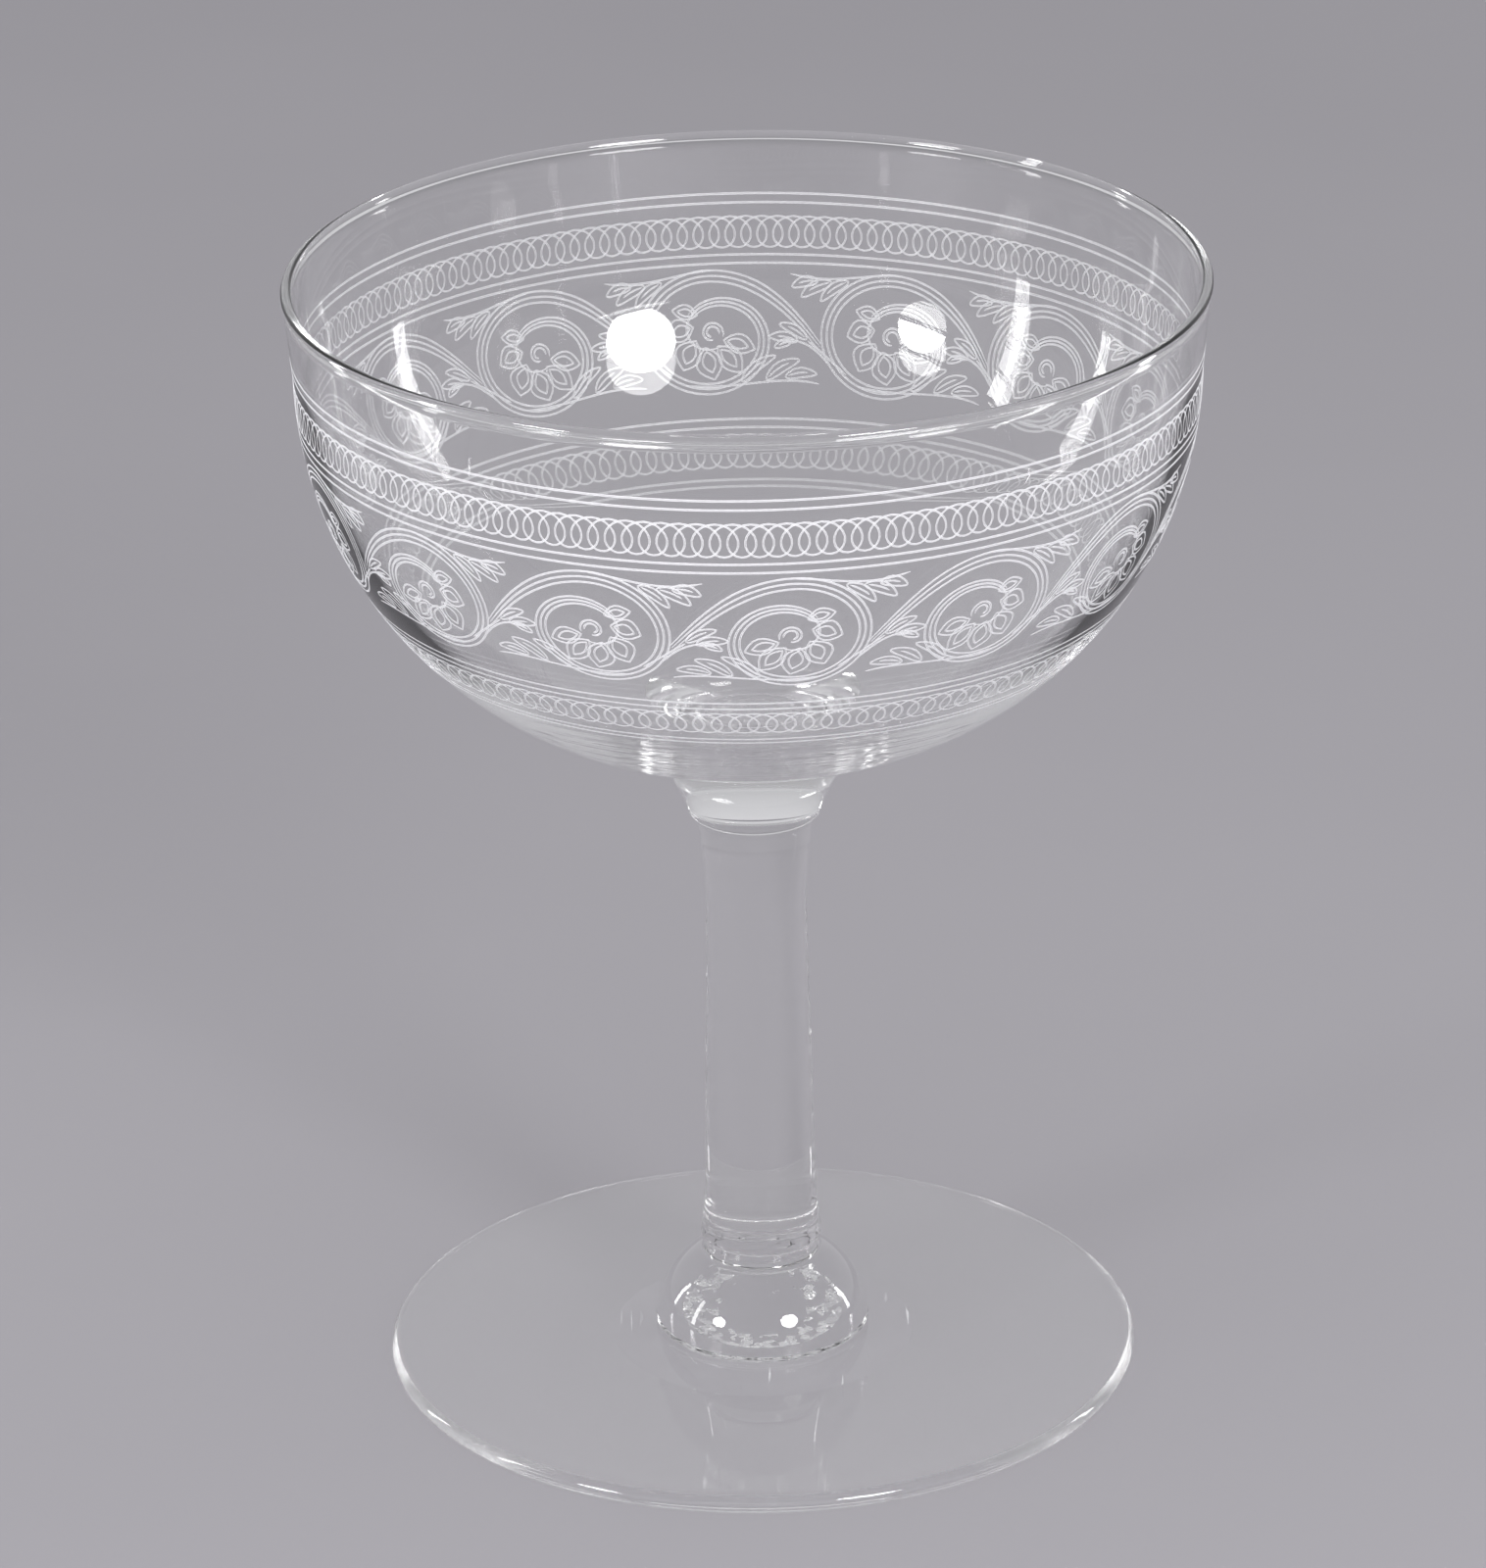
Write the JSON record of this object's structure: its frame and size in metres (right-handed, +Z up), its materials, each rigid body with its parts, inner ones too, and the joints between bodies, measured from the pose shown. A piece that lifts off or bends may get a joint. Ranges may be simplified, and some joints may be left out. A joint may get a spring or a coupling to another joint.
{
  "type": "coupe glass",
  "caption": "Coupe glass with a wide round bowl, etched bands of rings and running scrolls, a slim solid stem and a domed knop on a flat round foot.",
  "frame": {"origin": "centre of the foot's underside, on the surface that the glass stands on", "axes": "+Z up along the axis of the glass, X and Y level, with -Y towards the picture's camera"},
  "size_m": [0.095, 0.095, 0.1215],
  "materials": {
    "clear_glass": "polished clear glass, with bands etched white on the outside of the bowl"
  },
  "bodies": {
    "root": {"foot": "clear_glass", "base_knop": "clear_glass", "lower_collar": "clear_glass", "stem": "clear_glass", "upper_collar": "clear_glass", "bowl": "clear_glass"}
  },
  "joints": []
}
